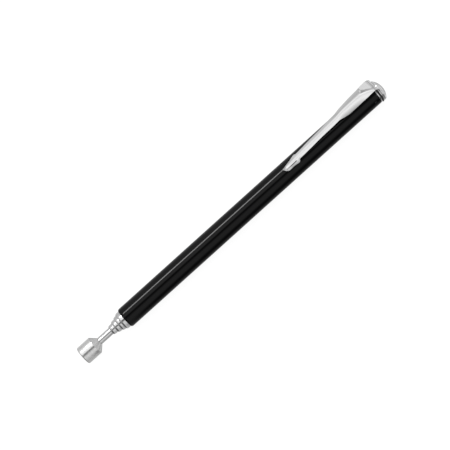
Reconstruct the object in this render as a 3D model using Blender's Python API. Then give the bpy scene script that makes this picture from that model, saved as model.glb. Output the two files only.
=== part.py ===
"""Telescoping magnetic pickup tool with a pocket clip.

The tool lies along +X. The magnet's working face is at the origin and the cap's dome is at the
far end. The clip is on top, +Z. Four tubes and a rod nest in the barrel, each held in the next
one's bore by a bronze friction spring and kept from pulling out by a brass stop bush.
Sizes below are in millimetres.
"""

import math

import bmesh
import bpy
from mathutils import Matrix, Vector

MM = 0.001

# Round pieces: every one has its facets in the same places, so nested facets stay parallel.
SIDES = 24
ARC_STEPS = 3

# Telescoping sections. Section 0 is the barrel, 1 to 4 are the tubes and 5 is the rod.
BARREL_R = 3.6
SECTION_STEP = 0.47
WALL = 0.25
TUBES = 4
ROD = TUBES + 1
SECTION_FRONT_X = (18.1, 16.5, 15.3, 13.8, 12.2, 7.2)
BARREL_END_X = 126.4
NESTED_END_X = 123.2

# Rolled front end of the barrel and of each tube.
NOSE_ROLL = 0.4
NOSE_LENGTH = 0.9
LIP_LENGTH = 0.3
GUIDE_GAP = 0.06

# Rear end of each inner section: bush, spring and flare share the gap round the section.
STOP_BUSH_X = 117.0
STOP_BUSH_LENGTH = 2.3
SPRING_LENGTH = 3.0
FIT_GAP = 0.04
GUIDE_HEIGHT = 0.18
FLARE_HEIGHT = 0.16
FLARE_LENGTH = 0.5
SPRING_SHEET = 0.1
SPRING_OPENING_SIDES = 2

# Magnet head.
HEAD_R = 3.2
HEAD_SHOULDER_X = 5.26
HEAD_END_X = 7.17
HEAD_NECK_R = 1.4
HEAD_EDGE = 0.35
MAGNET_R = 2.6
MAGNET_LENGTH = 4.0
MAGNET_GAP = 0.05
SPIGOT_R = 0.8
SPIGOT_X = 4.75

# Stack of rings behind the barrel, each with its front and rear face.
PLUG_FRONT_X = 123.6
PLUG_COLLAR_X = (126.43, 126.9)
WASHER_X = (126.94, 127.36)
CLIP_RING_X = (127.4, 127.8)
CAP_X = (127.84, 129.85)
CAP_RIM_X = 128.35
STACK_GAP = 0.04
PLUG_BORE_R = 1.5
RING_BORE_R = 1.55
SHANK_R = 1.44
SHANK_FRONT_X = 124.6
COLLAR_R = 3.6
WASHER_R = 3.8
WASHER_EDGE = 0.1
CLIP_RING_R = 3.7
CAP_R = 3.75
CAP_EDGE = 0.08
DOME_STEPS = 5

# Punch marks that hold the plug in the barrel, as an angle from the clip.
PUNCH_X = 124.7
PUNCH_ANGLES = (76.0, 256.0)
PUNCH_R = 0.5
PUNCH_DEPTH = 0.12

# Pocket clip, folded to a ridge along its top. Each station is x, half width on the near (-Y) side
# and on the far side, height of the ridge, how far each edge lies below it, and the angle that the
# pressed arm leans round the barrel, towards the near side.
CLIP_SHEET = 0.4
CLIP_STATIONS = (
    (87.9, 0.25, 0.20, 4.80, 0.04, 0.04, 15.4),
    (88.6, 1.12, 0.33, 4.60, 0.25, 0.16, 15.3),
    (89.5, 1.50, 0.62, 4.42, 0.30, 0.24, 15.0),
    (91.5, 1.50, 1.06, 4.27, 0.30, 0.30, 14.4),
    (93.6, 1.78, 1.52, 4.30, 0.36, 0.36, 13.6),
    (94.4, 1.10, 1.16, 4.42, 0.22, 0.22, 13.2),
    (96.4, 1.13, 1.13, 4.60, 0.19, 0.22, 12.3),
    (99.5, 1.20, 1.20, 4.80, 0.20, 0.22, 10.6),
    (102.8, 1.22, 1.20, 4.98, 0.24, 0.22, 8.9),
    (105.3, 1.28, 1.23, 5.13, 0.30, 0.24, 7.9),
    (109.1, 1.46, 1.35, 5.36, 0.37, 0.27, 6.1),
    (111.7, 1.56, 1.36, 5.46, 0.46, 0.42, 4.0),
    (114.1, 2.34, 1.88, 5.65, 0.93, 1.02, 0.8),
    (116.1, 2.64, 2.09, 5.72, 1.09, 1.10, 0.0),
    (118.8, 2.65, 2.32, 5.76, 1.08, 1.05, 0.0),
    (122.8, 2.64, 2.50, 5.80, 0.95, 1.00, 0.0),
    (125.2, 2.60, 2.58, 5.30, 0.35, 0.30, 0.0),
    (126.8, 2.55, 2.55, 5.05, 0.05, 0.05, 0.0),
)
CLIP_COLUMNS = 8
CLIP_RIDGE_ROUND = 0.4
CLIP_BEND_R = 1.0
CLIP_BEND_STEPS = 3
CLIP_BEND_TAIL = 0.3
CLIP_TAB_HALF_WIDTH = 2.45
CLIP_TAB_LOW_Z = 2.6
CLIP_TAB_TAPER = 0.8


def clear_scene():
    for obj in list(bpy.data.objects):
        bpy.data.objects.remove(obj, do_unlink=True)


def finish(name, colour, roughness, metallic):
    """A Principled BSDF material."""
    material = bpy.data.materials.new(name)
    material.use_nodes = True
    shader = material.node_tree.nodes["Principled BSDF"]
    shader.inputs["Base Color"].default_value = (*colour, 1.0)
    shader.inputs["Roughness"].default_value = roughness
    shader.inputs["Metallic"].default_value = metallic
    return material


def place(name, mesh, material, pivot=(0.0, 0.0, 0.0)):
    """Makes an object of a bmesh modelled in place, with its origin moved to the pivot (mm)."""
    origin = Vector(pivot) * MM
    bmesh.ops.translate(mesh, verts=mesh.verts, vec=-origin)
    data = bpy.data.meshes.new(name)
    mesh.to_mesh(data)
    mesh.free()
    data.materials.append(material)
    data.shade_smooth()
    data.set_sharp_from_angle(angle=math.radians(32))
    obj = bpy.data.objects.new(name, data)
    obj.location = origin
    bpy.context.scene.collection.objects.link(obj)
    return obj


def arc(centre_x, centre_r, radius, start_deg, end_deg, steps=ARC_STEPS):
    """Points of a round in an outline. 0 degrees points along +X and 90 degrees outwards."""
    points = []
    for step in range(steps + 1):
        angle = math.radians(start_deg + (end_deg - start_deg) * step / steps)
        points.append((centre_x + radius * math.cos(angle), centre_r + radius * math.sin(angle)))
    return points


def spin(outline, closed, sides=SIDES):
    """Spins an outline of (x, radius) points in mm about the X axis, over some of the 24 sides."""
    mesh = bmesh.new()
    verts = [mesh.verts.new((x * MM, 0.0, r * MM)) for x, r in outline]
    edges = [mesh.edges.new(pair) for pair in zip(verts, verts[1:])]
    if closed:
        edges.append(mesh.edges.new((verts[-1], verts[0])))
    full = sides == SIDES
    bmesh.ops.spin(
        mesh,
        geom=verts + edges,
        cent=(0, 0, 0),
        axis=(1, 0, 0),
        angle=math.tau * sides / SIDES,
        steps=sides,
        use_merge=full,
    )
    bmesh.ops.remove_doubles(mesh, verts=mesh.verts, dist=1e-7)
    if not full:
        ends = [edge for edge in mesh.edges if edge.is_boundary]
        bmesh.ops.holes_fill(mesh, edges=ends, sides=0)
    bmesh.ops.recalc_face_normals(mesh, faces=mesh.faces)
    return mesh


def section_r(section):
    """Outer radius of a section, each one step slimmer than the one outside it."""
    return BARREL_R - SECTION_STEP * section


def nose(section):
    """Outline of a rolled front end, from the outside to the bore."""
    front = SECTION_FRONT_X[section]
    outer_r = section_r(section)
    bore_r = outer_r - WALL
    lip_r = section_r(section + 1) + GUIDE_GAP
    stretch = NOSE_LENGTH / NOSE_ROLL
    roll = arc(0.0, outer_r - NOSE_ROLL, NOSE_ROLL, 90, 180)
    points = [(front + NOSE_LENGTH + x * stretch, r) for x, r in roll]
    points.append((front, lip_r))
    points.append((front + LIP_LENGTH, lip_r))
    points.append((front + LIP_LENGTH + bore_r - lip_r, bore_r))
    return points


def make_barrel(lacquer):
    outline = [(BARREL_END_X, BARREL_R)]
    outline += nose(0)
    outline.append((BARREL_END_X, BARREL_R - WALL))
    barrel = place("barrel", spin(outline, closed=True), lacquer)
    for number, angle in enumerate(PUNCH_ANGLES, 1):
        cutter = bmesh.new()
        bmesh.ops.create_icosphere(cutter, subdivisions=1, radius=PUNCH_R * MM)
        depth = BARREL_R - PUNCH_DEPTH + PUNCH_R
        turn = Matrix.Rotation(math.radians(angle), 3, "X")
        at = turn @ Vector((PUNCH_X, 0.0, depth))
        bmesh.ops.translate(cutter, verts=cutter.verts, vec=at * MM)
        punch = place(f"punch_{number}", cutter, lacquer)
        punch.hide_render = True
        punch.display_type = "WIRE"
        cut = barrel.modifiers.new(f"punch_{number}", "BOOLEAN")
        cut.operation = "DIFFERENCE"
        cut.solver = "EXACT"
        cut.object = punch


def make_tube(section, steel):
    outer_r = section_r(section)
    bore_r = outer_r - WALL
    flare_x = NESTED_END_X - FLARE_LENGTH
    outline = [
        (NESTED_END_X, outer_r + FLARE_HEIGHT),
        (flare_x, outer_r + FLARE_HEIGHT),
        (flare_x - FLARE_HEIGHT, outer_r),
    ]
    outline += nose(section)
    outline += [
        (flare_x - FLARE_HEIGHT, bore_r),
        (flare_x, bore_r + FLARE_HEIGHT),
        (NESTED_END_X, bore_r + FLARE_HEIGHT),
    ]
    place(f"tube_{section}", spin(outline, closed=True), steel)


def make_rod(steel):
    rod_r = section_r(ROD)
    front = SECTION_FRONT_X[ROD]
    head_x = NESTED_END_X - FLARE_LENGTH
    outline = [
        (SPIGOT_X, 0.0),
        (SPIGOT_X, SPIGOT_R),
        (front, SPIGOT_R),
        (front, rod_r),
        (head_x - FLARE_HEIGHT, rod_r),
        (head_x, rod_r + FLARE_HEIGHT),
        (NESTED_END_X, rod_r + FLARE_HEIGHT),
        (NESTED_END_X, 0.0),
    ]
    place("rod", spin(outline, closed=False), steel)


def make_stop_bush(section, brass):
    """Ring fixed on the section that meets the lip of the section outside it."""
    inner_r = section_r(section) + FIT_GAP
    outer_r = section_r(section) + GUIDE_HEIGHT
    end = STOP_BUSH_X + STOP_BUSH_LENGTH
    edge = (outer_r - inner_r) / 3
    outline = [
        (STOP_BUSH_X, inner_r),
        (STOP_BUSH_X, outer_r - edge),
        (STOP_BUSH_X + edge, outer_r),
        (end, outer_r),
        (end, inner_r),
    ]
    place(f"stop_bush_{section}", spin(outline, closed=True), brass)


def make_friction_spring(section, bronze):
    """Split bowed sleeve between the stop bush and the flare, which rubs in the bore outside."""
    inner_r = section_r(section) + FIT_GAP
    outer_r = section_r(section) + GUIDE_HEIGHT
    front = STOP_BUSH_X + STOP_BUSH_LENGTH + FIT_GAP
    end = front + SPRING_LENGTH
    bow = outer_r - inner_r - SPRING_SHEET
    third = SPRING_LENGTH / 3
    outline = [
        (front, inner_r + SPRING_SHEET),
        (front + third, outer_r),
        (end - third, outer_r),
        (end, inner_r + SPRING_SHEET),
        (end, inner_r),
        (end - third, inner_r + bow),
        (front + third, inner_r + bow),
        (front, inner_r),
    ]
    sides = SIDES - SPRING_OPENING_SIDES
    place(f"friction_spring_{section}", spin(outline, closed=True, sides=sides), bronze)


def make_head(nickel, magnet_plate):
    pocket_r = MAGNET_R + MAGNET_GAP
    pocket_x = MAGNET_LENGTH + MAGNET_GAP
    bore_r = SPIGOT_R + MAGNET_GAP
    bore_x = SPIGOT_X - MAGNET_GAP
    outline = [
        (bore_x, 0.0),
        (bore_x, bore_r),
        (HEAD_END_X, bore_r),
        (HEAD_END_X, HEAD_NECK_R),
        (HEAD_SHOULDER_X, HEAD_R),
    ]
    outline += arc(HEAD_EDGE, HEAD_R - HEAD_EDGE, HEAD_EDGE, 90, 180)
    outline += [(0.0, pocket_r), (pocket_x, pocket_r), (pocket_x, 0.0)]
    place("magnet_cup", spin(outline, closed=False), nickel)
    outline = [
        (0.0, 0.0),
        (0.0, MAGNET_R - MAGNET_GAP),
        (MAGNET_GAP, MAGNET_R),
        (MAGNET_LENGTH, MAGNET_R),
        (MAGNET_LENGTH, 0.0),
    ]
    place("magnet", spin(outline, closed=False), magnet_plate)


def make_end_plug(brass):
    """Plug punched into the barrel, with a collar that shows behind it."""
    body_r = BARREL_R - WALL - FIT_GAP
    front, rear = PLUG_COLLAR_X
    outline = [
        (PLUG_FRONT_X, PLUG_BORE_R),
        (PLUG_FRONT_X, body_r - 2 * FIT_GAP),
        (PLUG_FRONT_X + 2 * FIT_GAP, body_r),
        (front, body_r),
        (front, COLLAR_R - FIT_GAP),
        (front + FIT_GAP, COLLAR_R),
        (rear - FIT_GAP, COLLAR_R),
        (rear, COLLAR_R - FIT_GAP),
        (rear, PLUG_BORE_R),
    ]
    place("end_plug", spin(outline, closed=True), brass)


def make_washer(black_plastic):
    front, rear = WASHER_X
    outline = [
        (front, RING_BORE_R),
        (front, WASHER_R - WASHER_EDGE),
        (front + WASHER_EDGE, WASHER_R),
        (rear - WASHER_EDGE, WASHER_R),
        (rear, WASHER_R - WASHER_EDGE),
        (rear, RING_BORE_R),
    ]
    place("spacer_washer", spin(outline, closed=True), black_plastic)


def make_end_cap(chrome):
    """Domed cap with a shank that screws into the plug and clamps the rings between them."""
    front, apex = CAP_X
    height = apex - CAP_RIM_X
    dome_r = (CAP_R**2 + height**2) / (2 * height)
    rim_deg = math.degrees(math.asin(CAP_R / dome_r))
    outline = [
        (SHANK_FRONT_X, 0.0),
        (SHANK_FRONT_X, SHANK_R - CAP_EDGE),
        (SHANK_FRONT_X + CAP_EDGE, SHANK_R),
        (front, SHANK_R),
        (front, CAP_R - CAP_EDGE),
        (front + CAP_EDGE, CAP_R),
    ]
    outline += arc(apex - dome_r, 0.0, dome_r, rim_deg, 0.0, DOME_STEPS)
    place("end_cap", spin(outline, closed=False), chrome)


def clip_root():
    """The last station, where the fold begins: its x, ridge height, and the tab's top height."""
    root_x, ridge = CLIP_STATIONS[-1][0], CLIP_STATIONS[-1][3]
    return root_x, ridge, ridge - CLIP_BEND_R - CLIP_BEND_TAIL


def ridge_fall(across):
    """Fall of the section from its rounded ridge, from 0 at the ridge to 1 at the edge."""
    low = math.hypot(1.0, CLIP_RIDGE_ROUND) - CLIP_RIDGE_ROUND
    return (math.hypot(across, CLIP_RIDGE_ROUND) - CLIP_RIDGE_ROUND) / low


def station_row(station):
    """Points across the arm's outer face, from the near edge to the far one."""
    x, near, far, ridge, near_drop, far_drop, lean_deg = station
    turn = Matrix.Rotation(math.radians(lean_deg), 3, "X")
    row = []
    for column in range(CLIP_COLUMNS + 1):
        across = 2 * column / CLIP_COLUMNS - 1
        half, drop = (near, near_drop) if across < 0 else (far, far_drop)
        row.append(turn @ Vector((x, across * half, ridge - drop * ridge_fall(across))))
    return row


def bend_row(x, z, half, way, drop):
    """Points across the fold, whose edges still fall a little short of its middle."""
    row = []
    for column in range(CLIP_COLUMNS + 1):
        across = 2 * column / CLIP_COLUMNS - 1
        row.append(Vector((x, across * half, z)) - way * drop * ridge_fall(across))
    return row


def clip_rows():
    """Rows of points over the arm's outer face, from its point to the ring's tab."""
    rows = [station_row(station) for station in CLIP_STATIONS]
    root_x, ridge, tab_top = clip_root()
    root_half, root_drop = CLIP_STATIONS[-1][1], CLIP_STATIONS[-1][4]
    for step in range(1, CLIP_BEND_STEPS + 1):
        part = step / CLIP_BEND_STEPS
        way = Vector((math.sin(part * math.pi / 2), 0.0, math.cos(part * math.pi / 2)))
        half = root_half + (CLIP_TAB_HALF_WIDTH - root_half) * part
        x = root_x + CLIP_BEND_R * way.x
        z = ridge - CLIP_BEND_R + CLIP_BEND_R * way.z
        rows.append(bend_row(x, z, half, way, root_drop * (1 - part)))
    rows.append(bend_row(root_x + CLIP_BEND_R, tab_top, CLIP_TAB_HALF_WIDTH, way, 0.0))
    return rows


def make_clip_arm(chrome):
    """Sprung arm of the clip: a pressed sheet with a spear point, joined to the ring's tab."""
    rows = clip_rows()
    sheet = bmesh.new()
    last = len(rows) - 1
    bmesh.ops.create_grid(sheet, x_segments=last, y_segments=CLIP_COLUMNS, size=1.0)
    for vert in sheet.verts:
        row = rows[round((vert.co.x + 1) / 2 * last)]
        vert.co = row[round((vert.co.y + 1) / 2 * CLIP_COLUMNS)] * MM
    bmesh.ops.recalc_face_normals(sheet, faces=sheet.faces)
    hood = max(sheet.faces, key=lambda face: face.calc_center_median().z)
    if hood.normal.z < 0:
        bmesh.ops.reverse_faces(sheet, faces=sheet.faces)
    # It flexes about the middle of the sheet where it meets the tab.
    pivot = (CLIP_RING_X[1] - CLIP_SHEET / 2, 0.0, clip_root()[2] - STACK_GAP / 2)
    arm = place("clip_arm", sheet, chrome, pivot)
    thicken = arm.modifiers.new("sheet", "SOLIDIFY")
    thicken.thickness = CLIP_SHEET * MM
    thicken.offset = -1.0


def make_clip_ring(chrome):
    """Ring of the clip, clamped under the cap, with the tab that rises to the arm."""
    front, rear = CLIP_RING_X
    outline = [
        (front, RING_BORE_R),
        (front, CLIP_RING_R),
        (rear, CLIP_RING_R),
        (rear, RING_BORE_R),
    ]
    ring = place("clip_ring", spin(outline, closed=True), chrome)
    tab_high = clip_root()[2] - STACK_GAP
    tab = bmesh.new()
    bmesh.ops.create_cube(tab, size=1.0)
    bmesh.ops.scale(
        tab,
        verts=tab.verts,
        vec=Vector((rear - front, 2 * CLIP_TAB_HALF_WIDTH, tab_high - CLIP_TAB_LOW_Z)) * MM,
    )
    middle = Vector(((front + rear) / 2, 0.0, (CLIP_TAB_LOW_Z + tab_high) / 2))
    bmesh.ops.translate(tab, verts=tab.verts, vec=middle * MM)
    for vert in tab.verts:
        if vert.co.z < middle.z * MM:
            vert.co.y *= CLIP_TAB_TAPER
    tab_object = place("clip_tab", tab, chrome)
    tab_object.hide_render = True
    tab_object.display_type = "WIRE"
    join = ring.modifiers.new("tab", "BOOLEAN")
    join.operation = "UNION"
    join.solver = "EXACT"
    join.object = tab_object


def main():
    clear_scene()
    lacquer = finish("black_lacquer", (0.012, 0.012, 0.013), 0.18, 0.0)
    chrome = finish("bright_chrome", (0.62, 0.62, 0.63), 0.12, 1.0)
    steel = finish("polished_tube", (0.58, 0.58, 0.59), 0.16, 1.0)
    nickel = finish("satin_nickel", (0.55, 0.55, 0.55), 0.32, 1.0)
    magnet_plate = finish("magnet_plate", (0.42, 0.42, 0.44), 0.28, 1.0)
    brass = finish("brass", (0.62, 0.45, 0.2), 0.35, 1.0)
    bronze = finish("spring_bronze", (0.5, 0.29, 0.14), 0.35, 1.0)
    black_plastic = finish("black_nylon", (0.015, 0.015, 0.015), 0.45, 0.0)
    make_barrel(lacquer)
    for section in range(1, ROD):
        make_tube(section, steel)
    make_rod(steel)
    for section in range(1, ROD + 1):
        make_stop_bush(section, brass)
        make_friction_spring(section, bronze)
    make_head(nickel, magnet_plate)
    make_end_plug(brass)
    make_washer(black_plastic)
    make_clip_ring(chrome)
    make_clip_arm(chrome)
    make_end_cap(chrome)


main()
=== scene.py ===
"""The pocket pickup tool, finished: lacquered barrel, bright nested tubes, magnet head and clip.

Every piece is made here as a fine, smooth mesh in place of its plain CAD solid, at the same sizes.
Sizes in outlines are in millimetres along the tool's X axis, measured from the magnet's face.
"""

import math

import bmesh
import bpy
from mathutils import Matrix, Vector


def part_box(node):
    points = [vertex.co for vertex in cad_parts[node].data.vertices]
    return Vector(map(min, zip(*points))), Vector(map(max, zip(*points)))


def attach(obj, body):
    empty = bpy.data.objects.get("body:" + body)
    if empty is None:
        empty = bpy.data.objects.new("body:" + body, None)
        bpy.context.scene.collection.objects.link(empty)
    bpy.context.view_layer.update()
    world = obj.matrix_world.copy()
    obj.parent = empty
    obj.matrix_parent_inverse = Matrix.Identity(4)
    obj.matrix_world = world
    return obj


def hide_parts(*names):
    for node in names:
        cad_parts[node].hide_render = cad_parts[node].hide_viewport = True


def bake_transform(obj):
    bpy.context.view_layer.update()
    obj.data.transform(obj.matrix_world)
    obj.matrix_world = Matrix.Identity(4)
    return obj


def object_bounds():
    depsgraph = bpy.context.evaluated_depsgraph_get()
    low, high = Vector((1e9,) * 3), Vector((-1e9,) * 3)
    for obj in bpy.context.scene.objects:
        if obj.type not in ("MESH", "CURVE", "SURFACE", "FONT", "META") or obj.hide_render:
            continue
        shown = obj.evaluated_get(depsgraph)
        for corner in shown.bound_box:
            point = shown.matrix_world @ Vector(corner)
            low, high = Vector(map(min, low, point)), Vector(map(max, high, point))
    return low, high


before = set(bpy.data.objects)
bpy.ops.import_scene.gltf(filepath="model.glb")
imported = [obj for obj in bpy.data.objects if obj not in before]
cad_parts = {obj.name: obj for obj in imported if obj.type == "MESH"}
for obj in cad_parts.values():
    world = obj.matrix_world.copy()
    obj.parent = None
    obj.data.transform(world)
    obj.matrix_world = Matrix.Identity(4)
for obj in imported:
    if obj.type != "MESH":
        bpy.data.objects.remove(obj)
cad_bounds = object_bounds()

MM = 0.001
SECTIONS = 5
FINE_SIDES = 128
SMALL_SIDES = 72
ROUND_STEPS = 8
SMOOTH_ANGLE = math.radians(35)


# ---------------------------------------------------------------- sizes


def span(node):
    """First and last x of a CAD node, and its outer radius, in millimetres."""
    low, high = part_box(node)
    return low.x / MM, high.x / MM, max(high.y, -low.y) / MM


BARREL_FRONT, BARREL_END, BARREL_R = span("barrel")
SECTION_STEP = 0.47
WALL = 0.25
GUIDE_GAP = 0.06
FIT_GAP = 0.04
NOSE_ROLL = 0.4
NOSE_LENGTH = 0.9
LIP_LENGTH = 0.3
FLARE_HEIGHT = 0.16
FLARE_LENGTH = 0.5
ROD_R = BARREL_R - SECTION_STEP * SECTIONS
CONE_X = 5.26
PUNCH_X = 124.7
PUNCH_ANGLES = (76.0, 256.0)
PUNCH_RADIUS = 0.42
PUNCH_DEPTH = 0.13


# ---------------------------------------------------------------- finishes


def add_node(tree, kind, inputs, **settings):
    """A node with its settings and inputs. An input that is a socket is linked."""
    node = tree.nodes.new(kind)
    for key, value in settings.items():
        setattr(node, key, value)
    for key, value in inputs.items():
        if isinstance(value, bpy.types.NodeSocket):
            tree.links.new(value, node.inputs[key])
        else:
            node.inputs[key].default_value = value
    return node


class Finish:
    """A material with a Principled shader, and short calls for the nodes that feed it."""

    def __init__(self, name, base, roughness, metallic=0.0, specular=0.5):
        self.material = bpy.data.materials.new(name)
        self.material.use_nodes = True
        self.tree = self.material.node_tree
        self.shader = self.tree.nodes["Principled BSDF"]
        self.shader.inputs["Base Color"].default_value = (*base, 1.0)
        self.shader.inputs["Roughness"].default_value = roughness
        self.shader.inputs["Metallic"].default_value = metallic
        self.shader.inputs["Specular IOR Level"].default_value = specular
        self.place = self.tree.nodes.new("ShaderNodeTexCoord").outputs["Object"]

    def add(self, kind, inputs, **settings):
        return add_node(self.tree, kind, inputs, **settings)

    def stretched(self, scale):
        """The piece's own coordinates, scaled apart along X, Y and Z."""
        node = self.add("ShaderNodeMapping", {"Vector": self.place, "Scale": scale})
        return node.outputs["Vector"]

    def noise(self, scale, detail=3.0, roughness=0.5, vector=None):
        """Noise from 0 to 1, with so many features to the metre."""
        source = vector or self.place
        node = self.add(
            "ShaderNodeTexNoise",
            {"Vector": source, "Scale": scale, "Detail": detail, "Roughness": roughness},
        )
        return node.outputs["Fac"]

    def between(self, fac, low, high, from_low=0.3, from_high=0.7):
        """Fits a value from one range to another."""
        node = self.add(
            "ShaderNodeMapRange",
            {0: fac, 1: from_low, 2: from_high, 3: low, 4: high},
        )
        return node.outputs[0]

    def sum(self, first, second):
        return self.add("ShaderNodeMath", {0: first, 1: second}, operation="ADD").outputs[0]

    def times(self, first, second):
        return self.add("ShaderNodeMath", {0: first, 1: second}, operation="MULTIPLY").outputs[0]

    def tint(self, fac, dark, light):
        """Blends the base colour from dark to light."""
        node = self.add("ShaderNodeMix", {"Factor": fac}, data_type="RGBA")
        node.inputs[6].default_value = (*dark, 1.0)
        node.inputs[7].default_value = (*light, 1.0)
        self.tree.links.new(node.outputs[2], self.shader.inputs["Base Color"])

    def roughen(self, value):
        self.tree.links.new(value, self.shader.inputs["Roughness"])

    def relief(self, height, depth_mm, strength=1.0):
        node = self.add(
            "ShaderNodeBump", {"Height": height, "Distance": depth_mm * MM, "Strength": strength}
        )
        self.tree.links.new(node.outputs["Normal"], self.shader.inputs["Normal"])


def black_lacquer():
    """Sprayed gloss lacquer: faint orange peel, and hairlines from going in and out of pockets."""
    lacquer = Finish("black_lacquer", (0.0012, 0.0012, 0.0013), 0.12, specular=0.2)
    hairlines = lacquer.noise(1.0, 4.0, vector=lacquer.stretched((60.0, 9000.0, 9000.0)))
    scuffs = lacquer.between(lacquer.noise(260.0, 5.0, 0.6), 0.0, 0.05, 0.52, 0.72)
    lines = lacquer.between(hairlines, 0.0, 0.09, 0.6, 0.75)
    lacquer.roughen(lacquer.sum(lacquer.sum(lines, scuffs), 0.06))
    lacquer.tint(lacquer.noise(350.0, 4.0), (0.0009, 0.0009, 0.001), (0.0018, 0.0018, 0.002))
    peel = lacquer.noise(1300.0, 2.0)
    lacquer.relief(lacquer.sum(peel, lacquer.times(lines, 0.6)), 0.002, 0.6)
    return lacquer.material


def drawn_steel():
    """Bright stainless tube, drawn and buffed along its length."""
    steel = Finish("drawn_steel", (0.66, 0.66, 0.665), 0.16, metallic=1.0)
    lines = steel.noise(1.0, 5.0, 0.65, vector=steel.stretched((90.0, 14000.0, 14000.0)))
    cloud = steel.noise(420.0, 4.0)
    rough = steel.sum(steel.between(lines, 0.06, 0.16), steel.between(cloud, 0.0, 0.04))
    steel.roughen(rough)
    steel.tint(cloud, (0.70, 0.70, 0.705), (0.79, 0.79, 0.79))
    steel.relief(lines, 0.0012, 0.5)
    return steel.material


def satin_nickel():
    """Turned and plated head: fine tool rings under a soft plate, with painted shade darkening its
    cone.
    """
    nickel = Finish("satin_nickel", (0.68, 0.68, 0.68), 0.26, metallic=1.0)
    rings = nickel.noise(1.0, 4.0, 0.6, vector=nickel.stretched((16000.0, 60.0, 60.0)))
    cloud = nickel.noise(700.0, 5.0)
    rough = nickel.sum(nickel.between(rings, 0.08, 0.34), nickel.between(cloud, 0.0, 0.06))
    nickel.roughen(rough)
    along = nickel.add("ShaderNodeSeparateXYZ", {0: nickel.place}).outputs["X"]
    # Painted shade: the base colour is darker on the cone, standing in for the dimmer light that it
    # catches.
    painted_cone_shade = nickel.between(along, 1.0, 0.2, (CONE_X - 0.1) * MM, CONE_X * MM)
    plate = nickel.between(nickel.noise(1500.0, 3.0), 0.64, 1.0)
    nickel.tint(nickel.times(plate, painted_cone_shade), (0.60, 0.60, 0.60), (0.84, 0.84, 0.835))
    nickel.relief(rings, 0.002, 0.6)
    return nickel.material


def bright_chrome():
    """Chrome plate on a pressed sheet: a mirror with slight waves and fine random scratches."""
    chrome = Finish("bright_chrome", (0.74, 0.74, 0.745), 0.09, metallic=1.0)
    fine = chrome.noise(1.0, 6.0, 0.7, vector=chrome.stretched((1600.0, 9000.0, 5000.0)))
    cloud = chrome.noise(300.0, 4.0)
    rough = chrome.sum(chrome.between(fine, 0.05, 0.13), chrome.between(cloud, 0.0, 0.05))
    chrome.roughen(rough)
    chrome.tint(cloud, (0.70, 0.70, 0.705), (0.78, 0.78, 0.78))
    waves = chrome.noise(500.0, 1.0)
    chrome.relief(chrome.sum(waves, chrome.times(fine, 0.1)), 0.006, 0.5)
    return chrome.material


def magnet_plate():
    """Nickel plate on a sintered disc: grainy, a little darker, scuffed by what it has lifted."""
    plate = Finish("magnet_plate", (0.5, 0.5, 0.51), 0.3, metallic=1.0)
    grain = plate.noise(5200.0, 3.0)
    scuffs = plate.between(plate.noise(1100.0, 6.0, 0.7), 0.0, 0.16, 0.5, 0.7)
    plate.roughen(plate.sum(plate.between(grain, 0.2, 0.3), scuffs))
    plate.tint(plate.noise(900.0, 5.0), (0.42, 0.42, 0.43), (0.56, 0.56, 0.56))
    plate.relief(grain, 0.004, 0.6)
    return plate.material


def turned_brass(name, dark, light):
    """Copper alloy with rings from turning or rolling, and slight tarnish."""
    metal = Finish(name, light, 0.3, metallic=1.0)
    rings = metal.noise(1.0, 4.0, 0.6, vector=metal.stretched((12000.0, 80.0, 80.0)))
    tarnish = metal.noise(800.0, 5.0, 0.6)
    metal.roughen(metal.sum(metal.between(rings, 0.2, 0.32), metal.between(tarnish, 0.0, 0.1)))
    metal.tint(tarnish, dark, light)
    metal.relief(rings, 0.003, 0.5)
    return metal.material


def black_nylon():
    """Punched nylon washer: matt, with a fine moulded grain."""
    nylon = Finish("black_nylon", (0.012, 0.012, 0.012), 0.5, specular=0.35)
    grain = nylon.noise(6500.0, 3.0)
    nylon.roughen(nylon.between(grain, 0.42, 0.58))
    nylon.tint(nylon.noise(1800.0, 4.0), (0.009, 0.009, 0.009), (0.018, 0.018, 0.018))
    nylon.relief(grain, 0.008, 0.5)
    return nylon.material


# ---------------------------------------------------------------- modelling helpers


def arc(centre_x, centre_r, radius, start_deg, end_deg, steps=ROUND_STEPS):
    """Points of a round in an outline. 0 degrees points along +X and 90 degrees outwards."""
    points = []
    for step in range(steps + 1):
        angle = math.radians(start_deg + (end_deg - start_deg) * step / steps)
        points.append((centre_x + radius * math.cos(angle), centre_r + radius * math.sin(angle)))
    return points


def spun(outline, closed=True, sides=FINE_SIDES, turn_deg=360.0):
    """Spins an outline of (x, radius) points about the tool's axis."""
    mesh = bmesh.new()
    verts = [mesh.verts.new((x * MM, 0.0, r * MM)) for x, r in outline]
    edges = [mesh.edges.new(pair) for pair in zip(verts, verts[1:])]
    if closed:
        edges.append(mesh.edges.new((verts[-1], verts[0])))
    full = turn_deg == 360.0
    bmesh.ops.spin(
        mesh,
        geom=verts + edges,
        cent=(0, 0, 0),
        axis=(1, 0, 0),
        angle=math.radians(turn_deg),
        steps=sides,
        use_merge=full,
    )
    bmesh.ops.remove_doubles(mesh, verts=mesh.verts, dist=1e-8)
    if not full:
        ends = [edge for edge in mesh.edges if edge.is_boundary]
        bmesh.ops.holes_fill(mesh, edges=ends, sides=0)
    bmesh.ops.recalc_face_normals(mesh, faces=mesh.faces)
    return mesh


def piece(name, mesh, material):
    """Turns a bmesh modelled in place into a shown object."""
    data = bpy.data.meshes.new(name)
    mesh.to_mesh(data)
    mesh.free()
    data.materials.append(material)
    data.shade_smooth()
    data.set_sharp_from_angle(angle=SMOOTH_ANGLE)
    made = bpy.data.objects.new(name, data)
    bpy.context.scene.collection.objects.link(made)
    return made


def stands_for(made, body, slot, *nodes):
    """The piece rides on a body and takes the place of CAD nodes."""
    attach(made, body)
    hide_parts(*nodes)
    return made


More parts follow.
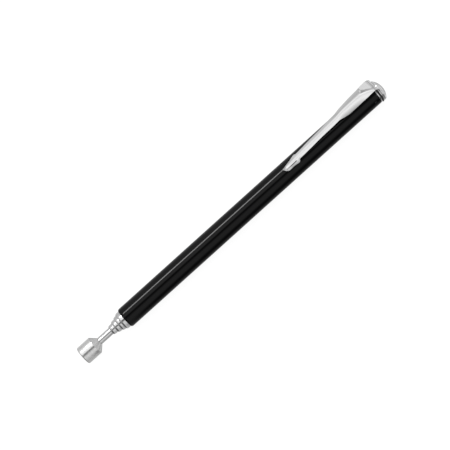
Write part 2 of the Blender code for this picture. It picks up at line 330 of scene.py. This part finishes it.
def ring_outline(front, end, inner_r, outer_r, edge, steps):
    """Outline of a flat ring with its outer corners rounded."""
    outline = [(front, inner_r), (front, outer_r - edge)]
    outline += arc(front + edge, outer_r - edge, edge, 180, 90, steps=steps)[1:]
    outline += arc(end - edge, outer_r - edge, edge, 90, 0, steps=steps)
    return outline + [(end, inner_r)]


def rolled_nose(front, outer_r, inside_r):
    """Outline of a tube's rolled front end, from the outside in to the bore."""
    bore_r = outer_r - WALL
    lip_r = inside_r + GUIDE_GAP
    lip_edge = 0.02
    stretch = NOSE_LENGTH / NOSE_ROLL
    roll = arc(0.0, outer_r - NOSE_ROLL, NOSE_ROLL, 90, 180, steps=12)
    points = [(front + NOSE_LENGTH + x * stretch, r) for x, r in roll]
    points.append((front, lip_r + lip_edge))
    points.append((front + lip_edge, lip_r))
    points.append((front + LIP_LENGTH, lip_r))
    points.append((front + LIP_LENGTH + bore_r - lip_r, bore_r))
    return points


# ---------------------------------------------------------------- barrel and sections


def make_barrel(lacquer):
    """Barrel, with rings close together where the punch marks press it in."""
    chamfer = 0.04
    punch_rings = 16
    reach = PUNCH_RADIUS * 1.2
    skin = 0.01
    outline = [(BARREL_END, BARREL_R - chamfer), (BARREL_END - chamfer, BARREL_R)]
    for ring in range(punch_rings + 1):
        outline.append((PUNCH_X + reach * (1 - 2 * ring / punch_rings), BARREL_R))
    outline += rolled_nose(BARREL_FRONT, BARREL_R, BARREL_R - SECTION_STEP)
    outline.append((BARREL_END, BARREL_R - WALL))
    mesh = spun(outline, sides=2 * FINE_SIDES)
    for vert in mesh.verts:
        outward = Vector((0.0, vert.co.y, vert.co.z))
        if outward.length < (BARREL_R - skin) * MM:
            continue
        for angle in PUNCH_ANGLES:
            turn = Matrix.Rotation(math.radians(angle), 3, "X")
            mark = turn @ Vector((PUNCH_X * MM, 0.0, BARREL_R * MM))
            away = (vert.co - mark).length / (PUNCH_RADIUS * MM)
            if away < 1.0:
                vert.co -= outward.normalized() * PUNCH_DEPTH * MM * (1 - away**2) ** 2
    stands_for(piece("barrel_tube", mesh, lacquer), "barrel", "black_lacquer", "barrel")


def make_tube(section, steel):
    """One drawn tube: rolled nose at the front, flared rear end that holds its spring."""
    front, end, _ = span(f"tube_{section}")
    outer_r = BARREL_R - SECTION_STEP * section
    bore_r = outer_r - WALL
    flare_x = end - FLARE_LENGTH
    outline = [
        (end, outer_r + FLARE_HEIGHT),
        (flare_x, outer_r + FLARE_HEIGHT),
        (flare_x - FLARE_HEIGHT, outer_r),
    ]
    outline += rolled_nose(front, outer_r, outer_r - SECTION_STEP)
    outline += [
        (flare_x - FLARE_HEIGHT, bore_r),
        (flare_x, bore_r + FLARE_HEIGHT),
        (end, bore_r + FLARE_HEIGHT),
    ]
    made = piece(f"inner_tube_{section}", spun(outline), steel)
    stands_for(made, f"section_{section}", "polished_tube", f"tube_{section}")


def make_rod(steel):
    """Innermost section: a spigot for the head in front, and a collar behind."""
    front, end, collar_r = span("rod")
    spigot_r = 0.8
    spigot_edge = 0.08
    shoulder = 7.2
    edge = 0.05
    collar_x = end - FLARE_LENGTH
    outline = [(front, 0.0), (front, spigot_r - spigot_edge), (front + spigot_edge, spigot_r)]
    outline += [(shoulder, spigot_r), (shoulder, ROD_R - edge), (shoulder + edge, ROD_R)]
    outline += [(collar_x - FLARE_HEIGHT, ROD_R), (collar_x, collar_r)]
    outline += [(end - edge, collar_r), (end, collar_r - edge), (end, 0.0)]
    made = piece("inner_rod", spun(outline, closed=False, sides=SMALL_SIDES), steel)
    stands_for(made, f"section_{SECTIONS}", "polished_tube", "rod")


def make_stop_ring(section, brass):
    """Bush near a section's rear end, which stops it at the lip of the section outside."""
    front, end, outer_r = span(f"stop_bush_{section}")
    inner_r = BARREL_R - SECTION_STEP * section + FIT_GAP
    outline = ring_outline(front, end, inner_r, outer_r, edge=0.05, steps=3)
    made = piece(f"stop_ring_{section}", spun(outline, sides=SMALL_SIDES), brass)
    stands_for(made, f"section_{section}", "brass", f"stop_bush_{section}")


def make_grip_spring(section, bronze):
    """Split sleeve, bowed along its length so that its middle rubs in the bore outside."""
    front, end, outer_r = span(f"friction_spring_{section}")
    inner_r = BARREL_R - SECTION_STEP * section + FIT_GAP
    sheet = 0.1
    bow = outer_r - inner_r - sheet
    wrap_deg = 330.0
    steps = 12
    inside = []
    for step in range(steps + 1):
        part = step / steps
        lift = bow * math.sin(math.pi * part) ** 0.5
        inside.append((front + (end - front) * part, inner_r + lift))
    outline = [(x, r + sheet) for x, r in inside] + inside[::-1]
    mesh = spun(outline, sides=SMALL_SIDES, turn_deg=wrap_deg)
    made = piece(f"grip_spring_{section}", mesh, bronze)
    stands_for(made, f"spring_{section}", "spring_bronze", f"friction_spring_{section}")


# ---------------------------------------------------------------- magnet head


def make_head(nickel, plate):
    """Turned cup with a cone to its neck, and the disc magnet in its pocket."""
    _, neck_x, head_r = span("magnet_cup")
    neck_r = 1.4
    edge = 0.35
    pocket_r = 2.65
    pocket_x = 4.05
    bore_r = 0.85
    bore_x = 4.7
    chamfer = 0.05
    neck_chamfer = 0.06
    cone_round = 0.25
    cone_round_x = CONE_X - 0.12
    outline = [(bore_x, 0.0), (bore_x, bore_r)]
    outline += [(neck_x - chamfer, bore_r), (neck_x, bore_r + chamfer)]
    outline += [(neck_x, neck_r - neck_chamfer), (neck_x - neck_chamfer, neck_r)]
    cone_deg = math.degrees(math.atan2(neck_x - CONE_X, head_r - neck_r))
    outline += arc(cone_round_x, head_r - cone_round, cone_round, cone_deg, 90)
    outline += arc(edge, head_r - edge, edge, 90, 180)
    outline += [(0.0, pocket_r + chamfer), (chamfer, pocket_r)]
    outline += [(pocket_x, pocket_r), (pocket_x, 0.0)]
    housing = piece("magnet_housing", spun(outline, closed=False), nickel)
    stands_for(housing, f"section_{SECTIONS}", "satin_nickel", "magnet_cup")
    _, magnet_end, magnet_r = span("magnet")
    edge = 0.12
    outline = [(0.0, 0.0), (0.0, magnet_r - edge)]
    outline += arc(edge, magnet_r - edge, edge, 180, 90, steps=5)[1:]
    outline += [(magnet_end, magnet_r), (magnet_end, 0.0)]
    disc = piece("magnet_disc", spun(outline, closed=False), plate)
    stands_for(disc, f"section_{SECTIONS}", "magnet_plate", "magnet")


# ---------------------------------------------------------------- cap end

SHANK_HOLE_R = 1.55


def make_plug(chrome):
    """Plug punched into the barrel, with a plated collar that shows behind it."""
    front, end, collar_r = span("end_plug")
    collar_x = BARREL_END + 0.03
    body_r = BARREL_R - WALL - FIT_GAP
    bore_r = 1.5
    edge = 0.1
    outline = [(front, bore_r), (front, body_r - edge), (front + edge, body_r)]
    outline += [(collar_x, body_r), (collar_x, collar_r - edge)]
    outline += arc(collar_x + edge, collar_r - edge, edge, 180, 90, steps=4)[1:]
    outline += arc(end - edge, collar_r - edge, edge, 90, 0, steps=4)
    outline += [(end, bore_r)]
    plug = piece("plug_with_collar", spun(outline), chrome)
    stands_for(plug, "barrel", "plated_collar", "end_plug")


def make_washer(nylon):
    front, end, washer_r = span("spacer_washer")
    outline = ring_outline(front, end, SHANK_HOLE_R, washer_r, edge=0.12, steps=5)
    washer = piece("nylon_washer", spun(outline), nylon)
    stands_for(washer, "barrel", "black_nylon", "spacer_washer")


def make_cap(chrome):
    """Domed cap: a short straight rim, a small round, then the dome, on its screwed shank."""
    shank_x, apex, cap_r = span("end_cap")
    rim_front = 127.84
    rim_end = 128.3
    shank_r = 1.44
    edge = 0.1
    height = apex - rim_end
    dome_r = (cap_r**2 + height**2) / (2 * height)
    rim_deg = math.degrees(math.asin(cap_r / dome_r))
    soft = 0.2
    soft_end_deg = rim_deg + 4
    dome_start_deg = rim_deg - 2.5
    outline = [(shank_x, 0.0), (shank_x, shank_r - edge), (shank_x + edge, shank_r)]
    outline += [(rim_front, shank_r), (rim_front, cap_r - edge)]
    outline += arc(rim_front + edge, cap_r - edge, edge, 180, 90, steps=4)[1:]
    outline += arc(rim_end - soft, cap_r - soft, soft, 90, soft_end_deg, steps=4)
    outline += arc(apex - dome_r, 0.0, dome_r, dome_start_deg, 0.0, steps=20)
    cap = piece("domed_cap", spun(outline, closed=False), chrome)
    stands_for(cap, "barrel", "bright_chrome", "end_cap")


# ---------------------------------------------------------------- pocket clip

CLIP_SHEET = 0.4
CLIP_EDGE_ROUND = 0.09
# Each station is x, half width on the near (-Y) side and on the far side, height of the ridge, how
# far each edge lies below it, and the angle that the pressed arm leans towards the near side.
CLIP_STATIONS = (
    (87.9, 0.25, 0.20, 4.80, 0.04, 0.04, 15.4),
    (88.6, 1.12, 0.33, 4.60, 0.25, 0.16, 15.3),
    (89.5, 1.50, 0.62, 4.42, 0.30, 0.24, 15.0),
    (91.5, 1.50, 1.06, 4.27, 0.30, 0.30, 14.4),
    (93.6, 1.78, 1.52, 4.30, 0.36, 0.36, 13.6),
    (94.4, 1.10, 1.16, 4.42, 0.22, 0.22, 13.2),
    (96.4, 1.13, 1.13, 4.60, 0.19, 0.22, 12.3),
    (99.5, 1.20, 1.20, 4.80, 0.20, 0.22, 10.6),
    (102.8, 1.22, 1.20, 4.98, 0.24, 0.22, 8.9),
    (105.3, 1.28, 1.23, 5.13, 0.30, 0.24, 7.9),
    (109.1, 1.46, 1.35, 5.36, 0.37, 0.27, 6.1),
    (111.7, 1.56, 1.36, 5.46, 0.46, 0.42, 4.0),
    (114.1, 2.34, 1.88, 5.65, 0.93, 1.02, 0.8),
    (116.1, 2.64, 2.09, 5.72, 1.09, 1.10, 0.0),
    (118.8, 2.65, 2.32, 5.76, 1.08, 1.05, 0.0),
    (122.8, 2.64, 2.50, 5.80, 0.95, 1.00, 0.0),
    (126.3, 2.55, 2.55, 5.80, 0.80, 0.85, 0.0),
)
CLIP_TIP_X = CLIP_STATIONS[0][0]
CLIP_ROOT_X = CLIP_STATIONS[-1][0]
CLIP_COLUMNS = 44
# Where each stretch of the arm starts, and how far apart its rows are.
ARM_ROW_STEPS = (
    (CLIP_TIP_X, 0.07),
    (89.3, 0.16),
    (93.0, 0.08),
    (95.0, 0.3),
    (111.0, 0.2),
    (120.5, 0.09),
)
RIDGE_ROUND = 0.42
FOLD_Z = 5.05
FOLD_R = 1.0
FOLD_STEPS = 14
TAB_LOW_Z = 3.0
TAB_HALF_WIDTH = 2.45
TAB_FOOT_HALF_WIDTH = 2.1
TAB_STEPS = 5
# Where the hood ends its ridge becomes a crest, which turns aside and runs down to the fold's near
# corner. Over its length it moves aside and falls by these amounts, each on a power curve.
CREST_START_X = 122.0
CREST_LENGTH = 5.0
CREST_ASIDE = 2.3
CREST_BEND = 1.5
CREST_FALL = 0.77
CREST_FALL_BEND = 1.2
# Behind the crest the hood's far side ends in a ramp and a hip, down to a flat before the fold.
HOOD_END_LENGTH = 0.7
HIP_SLOPE = 0.48
RAMP_START_RISE = 0.02
RAMP_START_X = 122.4
RAMP_SLOPE = 0.75
FLAT_START_X = 124.4
FLAT_SLOPE = 0.22
FLAT_LEAN = 0.04
HOOD_BLEND = 0.07
# Low rib along the middle of the spear point, with a step down to the flange on each side.
RIB_SPAN = (88.6, 93.4)
RIB_HALF_WIDTH = 0.72
RIB_STEP = 0.045
RIB_START_LENGTH = 0.8
RIB_END_LENGTH = 0.5
RIB_SOFTNESS = 0.17


def clamp(value):
    return min(max(value, 0.0), 1.0)


def ease(value, low, high):
    """0 below low, 1 above high, and smooth between."""
    part = clamp((value - low) / (high - low))
    return part * part * (3 - 2 * part)


def station_slope(index, column):
    """Slope of a column at a station that makes a smooth line with no overshoot."""
    before = CLIP_STATIONS[max(index - 1, 0)]
    here = CLIP_STATIONS[index]
    after = CLIP_STATIONS[min(index + 1, len(CLIP_STATIONS) - 1)]
    if before is here:
        return (after[column] - here[column]) / (after[0] - here[0])
    if after is here:
        return (here[column] - before[column]) / (here[0] - before[0])
    left = (here[column] - before[column]) / (here[0] - before[0])
    right = (after[column] - here[column]) / (after[0] - here[0])
    if left * right <= 0.0:
        return 0.0
    return 2 * left * right / (left + right)


def station_at(x):
    """Every column of the stations at any place along the arm, on smooth lines."""
    index = 0
    while index < len(CLIP_STATIONS) - 2 and x > CLIP_STATIONS[index + 1][0]:
        index += 1
    start, end = CLIP_STATIONS[index], CLIP_STATIONS[index + 1]
    length = end[0] - start[0]
    part = clamp((x - start[0]) / length)
    values = []
    for column in range(1, len(start)):
        rise = part * part * (3 - 2 * part)
        value = start[column] + (end[column] - start[column]) * rise
        value += station_slope(index, column) * length * part * (1 - part) ** 2
        value -= station_slope(index + 1, column) * length * part * part * (1 - part)
        values.append(value)
    return values


def ridge_fall(across):
    """Fall of the section from its rounded ridge, from 0 at the ridge to 1 at the edge."""
    low = math.hypot(1.0, RIDGE_ROUND) - RIDGE_ROUND
    return (math.hypot(across, RIDGE_ROUND) - RIDGE_ROUND) / low


def smooth_low(first, second, blend):
    """The lower of two heights, with the crease between them rounded."""
    return -blend * math.log(math.exp(-first / blend) + math.exp(-second / blend))


def smooth_high(first, second, blend):
    return -smooth_low(-first, -second, blend)


def crest_at(x):
    """How far the crest has moved aside and fallen, at a place along the arm."""
    part = max(x - CREST_START_X, 0.0) / CREST_LENGTH
    return -CREST_ASIDE * part**CREST_BEND, CREST_FALL * part**CREST_FALL_BEND


def behind_crest(x, y, roof, crest_y, crest_z):
    """Height of the hood's far side, which ends in a ramp and a hip down to the flat."""
    ramp = crest_z + RAMP_START_RISE - RAMP_SLOPE * (x - RAMP_START_X)
    hip = crest_z - HIP_SLOPE * (y - crest_y)
    flat = FOLD_Z + FLAT_LEAN * y - FLAT_SLOPE * max(FLAT_START_X - x, 0.0)
    slope = smooth_high(ramp, hip, HOOD_BLEND)
    return smooth_high(flat, smooth_low(roof, slope, HOOD_BLEND), HOOD_BLEND)


def arm_point(x, across):
    """A point of the arm's outer face, at a place along it and from -1 to 1 across it."""
    near, far, ridge, near_drop, far_drop, lean_deg = station_at(x)
    crest_y, crest_fall = crest_at(x)
    if across < 0:
        y = crest_y + across * (near + crest_y)
        z = ridge - crest_fall - (near_drop - crest_fall) * ridge_fall(across)
    else:
        y = crest_y + across * (far - crest_y)
        z = ridge - far_drop * ridge_fall(max(y, 0.0) / far)
        if x > CREST_START_X:
            ended = behind_crest(x, y, z, crest_y, ridge - crest_fall)
            z += (ended - z) * ease(x, CREST_START_X, CREST_START_X + HOOD_END_LENGTH)
    rib_start, rib_end = RIB_SPAN
    in_rib = ease(x, rib_start, rib_start + RIB_START_LENGTH)
    in_rib *= 1 - ease(x, rib_end - RIB_END_LENGTH, rib_end)
    beside = ease(abs(y), RIB_HALF_WIDTH - RIB_SOFTNESS, RIB_HALF_WIDTH + RIB_SOFTNESS)
    z -= RIB_STEP * in_rib * beside
    return Matrix.Rotation(math.radians(lean_deg), 3, "X") @ Vector((x, y, z))


def arm_places():
    """Places along the arm for its rows, close together where its shape changes."""
    places = []
    ends = [start for start, _ in ARM_ROW_STEPS[1:]] + [CLIP_ROOT_X]
    for (start, step), end in zip(ARM_ROW_STEPS, ends):
        count = round((end - start) / step)
        places += [start + (end - start) * number / count for number in range(count)]
    return places + [CLIP_ROOT_X]


def clip_rows(ring_x):
    """Rows of points across the clip's outer face, from its point to the foot of its tab."""
    shares = [2 * column / CLIP_COLUMNS - 1 for column in range(CLIP_COLUMNS + 1)]
    rows = [[arm_point(x, across) for across in shares] for x in arm_places()]
    root = rows[-1]
    for step in range(1, FOLD_STEPS + 1):
        part = step / FOLD_STEPS
        turn = part * math.pi / 2
        row = []
        for across, point in zip(shares, root):
            y = point.y * (1 - part) + TAB_HALF_WIDTH * across * part
            radius = FOLD_R + (point.z - FOLD_Z) * (1 - part)
            x = CLIP_ROOT_X + (ring_x - CLIP_ROOT_X) * math.sin(turn)
            z = FOLD_Z - FOLD_R + radius * math.cos(turn)
            row.append(Vector((x, y, z)))
        rows.append(row)
    tab_top = FOLD_Z - FOLD_R
    for step in range(1, TAB_STEPS + 1):
        part = step / TAB_STEPS
        half = TAB_HALF_WIDTH + (TAB_FOOT_HALF_WIDTH - TAB_HALF_WIDTH) * part
        z = tab_top + (TAB_LOW_Z - tab_top) * part
        rows.append([Vector((ring_x, across * half, z)) for across in shares])
    return rows


def make_clip(chrome):
    """One pressed sheet: clamped ring, tab, fold, hood, shank and spear point."""
    ring_front, ring_end, ring_r = span("clip_ring")
    rows = clip_rows(ring_end)
    sheet = bmesh.new()
    last = len(rows) - 1
    bmesh.ops.create_grid(sheet, x_segments=last, y_segments=CLIP_COLUMNS, size=1.0)
    for vert in sheet.verts:
        row = rows[round((vert.co.x + 1) / 2 * last)]
        vert.co = row[round((vert.co.y + 1) / 2 * CLIP_COLUMNS)] * MM
    bmesh.ops.recalc_face_normals(sheet, faces=sheet.faces)
    if max(sheet.faces, key=lambda face: face.calc_center_median().z).normal.z < 0:
        bmesh.ops.reverse_faces(sheet, faces=sheet.faces)
    clip = piece("pocket_clip", sheet, chrome)
    thicken = clip.modifiers.new("sheet", "SOLIDIFY")
    thicken.thickness = CLIP_SHEET * MM
    thicken.offset = -1.0
    round_edges = clip.modifiers.new("edges", "BEVEL")
    round_edges.limit_method = "ANGLE"
    round_edges.angle_limit = math.radians(50)
    round_edges.width = CLIP_EDGE_ROUND * MM
    round_edges.segments = 3
    outline = ring_outline(ring_front, ring_end, SHANK_HOLE_R, ring_r, edge=0.08, steps=3)
    ring = piece("clip_ring_blank", spun(outline), chrome)
    union = clip.modifiers.new("ring", "BOOLEAN")
    union.operation = "UNION"
    union.solver = "EXACT"
    union.object = ring
    settle(clip)
    bpy.data.objects.remove(ring)
    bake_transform(clip)
    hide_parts("clip_arm", "clip_ring")


def settle(made):
    """Applies a piece's modifiers to its mesh."""
    bpy.context.view_layer.update()
    shape = made.evaluated_get(bpy.context.evaluated_depsgraph_get())
    data = bpy.data.meshes.new_from_object(shape)
    made.modifiers.clear()
    old = made.data
    made.data = data
    bpy.data.meshes.remove(old)
    data.shade_smooth()
    data.set_sharp_from_angle(angle=SMOOTH_ANGLE)


# ---------------------------------------------------------------- studio

CAMERA_TILT = math.radians(34)
CAMERA_ROLL = math.radians(42)
CAMERA_DISTANCE = 0.45
FRAME_WIDTH = 0.1452
SENSOR = 36.0
# Where the camera aims: a share of the tool's length, and how far over its axis.
AIM_SHARE = 0.48
AIM_OVER = 0.79
FLOOR_HALF_SIZE = 6.0
FLOOR_GAP = 0.00002
TABLE_GLOW = 0.93


def make_camera():
    """Looks square at the tool from over its near side, rolled so that the cap is upper right."""
    along = Vector((1.0, 0.0, 0.0))
    towards = Vector((0.0, -math.sin(CAMERA_TILT), math.cos(CAMERA_TILT)))
    over = towards.cross(along)
    aim = along * (cad_bounds[1][0] * AIM_SHARE) + over * AIM_OVER * MM
    right = along * math.cos(CAMERA_ROLL) - over * math.sin(CAMERA_ROLL)
    up = along * math.sin(CAMERA_ROLL) + over * math.cos(CAMERA_ROLL)
    data = bpy.data.cameras.new("camera")
    data.sensor_width = SENSOR
    data.lens = SENSOR * CAMERA_DISTANCE / FRAME_WIDTH
    data.clip_start = 0.01
    camera = bpy.data.objects.new("camera", data)
    turn = Matrix((right, up, towards)).transposed().to_4x4()
    camera.matrix_world = Matrix.Translation(aim + towards * CAMERA_DISTANCE) @ turn
    bpy.context.scene.collection.objects.link(camera)
    bpy.context.scene.camera = camera


def make_floor():
    """White table. It glows a little, so that its shadows stay faint, as in a light tent."""
    mesh = bmesh.new()
    bmesh.ops.create_grid(mesh, x_segments=1, y_segments=1, size=FLOOR_HALF_SIZE)
    lowest = min(cad_bounds[0][2], -BARREL_R * MM)
    bmesh.ops.translate(mesh, verts=mesh.verts, vec=(0.0, 0.0, lowest - FLOOR_GAP))
    white = Finish("white_table", (0.12, 0.12, 0.12), 0.9, specular=0.0)
    white.shader.inputs["Emission Color"].default_value = (1.0, 1.0, 1.0, 1.0)
    white.shader.inputs["Emission Strength"].default_value = TABLE_GLOW
    floor = piece("table_top", mesh, white.material)
    floor.visible_glossy = False


# Nothing in the light tent is brighter than this.
TENT_BRIGHTEST = 1.35
# Brightness of the light tent round the tool's axis: degrees from the camera, and a value.
TENT_PANELS = (
    (-180, 0.75),
    (-126, 0.66),
    (-108, 0.57),
    (-98, 0.59),
    (-90, 0.64),
    (-82, 0.68),
    (-74, 0.74),
    (-67, 0.84),
    (-60, 1.00),
    (-52, 1.12),
    (-43, 1.10),
    (-33, 0.92),
    (-25, 1.12),
    (-18, 1.15),
    (-11, 0.74),
    (-5, 0.14),
    (3, 0.07),
    (11, 0.34),
    (19, 0.70),
    (27, 0.80),
    (45, 0.76),
    (60, 0.66),
    (84, 0.58),
    (100, 0.60),
    (126, 0.52),
    (145, 0.60),
    (180, 0.75),
)
# Black flag along the near side of the barrel: how much of the tent it hides, by the same angle.
FLAG_COVER = (
    (-180, 0.0),
    (54, 0.0),
    (66, 0.62),
    (76, 0.90),
    (93, 0.88),
    (107, 0.45),
    (126, 0.25),
    (145, 0.0),
    (180, 0.0),
)
FLAG_MAGNET_END = (-0.120, -0.104)
# Gap between the tent and its cap end: dark behind the tool, and light over it.
CAP_END_GAP = (
    (-180, 0.40),
    (-70, 0.40),
    (-59, 1.20),
    (-20, 1.35),
    (0, 0.50),
    (180, 0.40),
)
# Walls at the tent's two ends, darkest and lightest. The cap end's cloth has soft folds.
CAP_END_WALL = (0.52, 0.88)
FOLDS_ACROSS = 2.4
FOLDS_FIT = (0.38, 0.62)
MAGNET_END_WALL = (0.12, 0.55)
MAGNET_END_SHADE = (-0.6, 0.6)
# Where each end begins and is complete, as the X part of a direction.
TO_MAGNET_END = (-0.30, -0.50)
TO_CAP_END_GAP = (0.18, 0.30)
TO_CAP_END = (0.38, 0.48)


def make_tent():
    """World light: plain white for the table, and the tent's panels for what the metal mirrors."""
    world = bpy.data.worlds.new("light_tent")
    bpy.context.scene.world = world
    world.use_nodes = True
    tree = world.node_tree
    tree.nodes.clear()

    def add(kind, inputs, **settings):
        return add_node(tree, kind, inputs, **settings)

    def fit(value, low, high, to_low=0.0, to_high=1.0):
        node = add("ShaderNodeMapRange", {0: value, 1: low, 2: high, 3: to_low, 4: to_high})
        node.interpolation_type = "SMOOTHSTEP"
        return node.outputs[0]

    def times(first, second):
        return add("ShaderNodeMath", {0: first, 1: second}, operation="MULTIPLY").outputs[0]

    way = add("ShaderNodeTexCoord", {}).outputs["Generated"]
    parts = add("ShaderNodeSeparateXYZ", {0: way}).outputs
    near = add("ShaderNodeMath", {0: parts["Y"], 1: -1.0}, operation="MULTIPLY").outputs[0]
    angle = add("ShaderNodeMath", {0: near, 1: parts["Z"]}, operation="ARCTAN2").outputs[0]
    from_camera = add("ShaderNodeMath", {0: angle, 1: CAMERA_TILT}, operation="SUBTRACT")
    wrapped = add(
        "ShaderNodeMath", {0: from_camera.outputs[0], 1: math.pi, 2: -math.pi}, operation="WRAP"
    )
    fac = add("ShaderNodeMapRange", {0: wrapped.outputs[0], 1: -math.pi, 2: math.pi})

    def round_axis(stops, brightest):
        """A value for each direction round the tool's axis."""
        ramp = add("ShaderNodeValToRGB", {0: fac.outputs[0]})
        marks = ramp.color_ramp.elements
        while len(marks) < len(stops):
            marks.new(0.5)
        for mark, (degrees, value) in zip(marks, stops):
            mark.position = (degrees + 180) / 360
            shade = value / brightest
            mark.color = (shade, shade, shade, 1.0)
        return times(ramp.outputs["Color"], brightest)

    panels = round_axis(TENT_PANELS, TENT_BRIGHTEST)
    beside_barrel = fit(parts["X"], *FLAG_MAGNET_END)
    hidden = times(round_axis(FLAG_COVER, 1.0), beside_barrel)
    shown = add("ShaderNodeMath", {0: 1.0, 1: hidden}, operation="SUBTRACT").outputs[0]
    panels = times(panels, shown)
    over = add("ShaderNodeVectorMath", {0: way}, operation="DOT_PRODUCT")
    over.inputs[1].default_value = (0.0, math.cos(CAMERA_TILT), math.sin(CAMERA_TILT))
    magnet_wall = fit(over.outputs["Value"], *MAGNET_END_SHADE, *MAGNET_END_WALL)
    to_magnet = fit(parts["X"], *TO_MAGNET_END)
    to_gap = fit(parts["X"], *TO_CAP_END_GAP)
    to_cap = fit(parts["X"], *TO_CAP_END)
    folds = add("ShaderNodeTexNoise", {"Vector": way, "Scale": FOLDS_ACROSS, "Detail": 1.0})
    cap_wall = fit(folds.outputs["Fac"], *FOLDS_FIT, *CAP_END_WALL)
    cap_gap = round_axis(CAP_END_GAP, TENT_BRIGHTEST)
    wall = add("ShaderNodeMix", {0: to_magnet, 2: panels, 3: magnet_wall}).outputs[0]
    gap = add("ShaderNodeMix", {0: to_gap, 2: wall, 3: cap_gap}).outputs[0]
    mirrored = add("ShaderNodeMix", {0: to_cap, 2: gap, 3: cap_wall}).outputs[0]
    path = add("ShaderNodeLightPath", {}).outputs
    strength = add("ShaderNodeMix", {0: path["Is Glossy Ray"], 2: 1.0, 3: mirrored}).outputs[0]
    light = add("ShaderNodeBackground", {"Strength": strength})
    light.inputs["Color"].default_value = (1.0, 1.0, 1.0, 1.0)
    output = add("ShaderNodeOutputWorld", {})
    tree.links.new(light.outputs[0], output.inputs[0])


# Strip lights: how bright their faces are, their angle behind the zenith and distance, both ends
# of each along X, and their width.
STRIP_BRIGHTNESS = 13.0
STRIP_TILT = math.radians(16)
STRIP_DISTANCE = 0.5
STRIP_ENDS = ((-0.045, 0.120), (0.197, 0.240))
STRIP_WIDTH = 0.085


def make_strip_lights():
    """Two strips in line overhead, a little behind the tool: the thin bright line on the barrel."""
    # The clip is kept out of the strips' light, which would burn out its ridge.
    shaded = bpy.data.collections.new("kept_from_strip")
    shaded.objects.link(bpy.data.objects["pocket_clip"])
    shaded.collection_objects[0].light_linking.link_state = "EXCLUDE"
    way = Vector((0.0, math.sin(STRIP_TILT), math.cos(STRIP_TILT)))
    turn = Matrix.Rotation(-STRIP_TILT, 4, "X")
    for number, (start, end) in enumerate(STRIP_ENDS, 1):
        data = bpy.data.lights.new(f"strip_light_{number}", "AREA")
        data.shape = "RECTANGLE"
        data.size = end - start
        data.size_y = STRIP_WIDTH
        data.energy = STRIP_BRIGHTNESS * math.pi * data.size * data.size_y
        strip = bpy.data.objects.new(f"strip_light_{number}", data)
        middle = Vector(((start + end) / 2, 0.0, 0.0))
        strip.matrix_world = Matrix.Translation(middle + way * STRIP_DISTANCE) @ turn
        bpy.context.scene.collection.objects.link(strip)
        strip.light_linking.receiver_collection = shaded


# ---------------------------------------------------------------- the whole scene


def make_tool():
    lacquer = black_lacquer()
    steel = drawn_steel()
    chrome = bright_chrome()
    brass = turned_brass("turned_brass", (0.5, 0.33, 0.12), (0.66, 0.47, 0.2))
    bronze = turned_brass("spring_bronze", (0.38, 0.2, 0.09), (0.55, 0.32, 0.16))
    make_barrel(lacquer)
    for section in range(1, SECTIONS):
        make_tube(section, steel)
    make_rod(steel)
    for section in range(1, SECTIONS + 1):
        make_stop_ring(section, brass)
        make_grip_spring(section, bronze)
    make_head(satin_nickel(), magnet_plate())
    make_plug(chrome)
    make_washer(black_nylon())
    make_cap(chrome)
    make_clip(chrome)


make_camera()
make_tool()
make_floor()
make_tent()
make_strip_lights()
bpy.context.scene.view_settings.view_transform = "Standard"
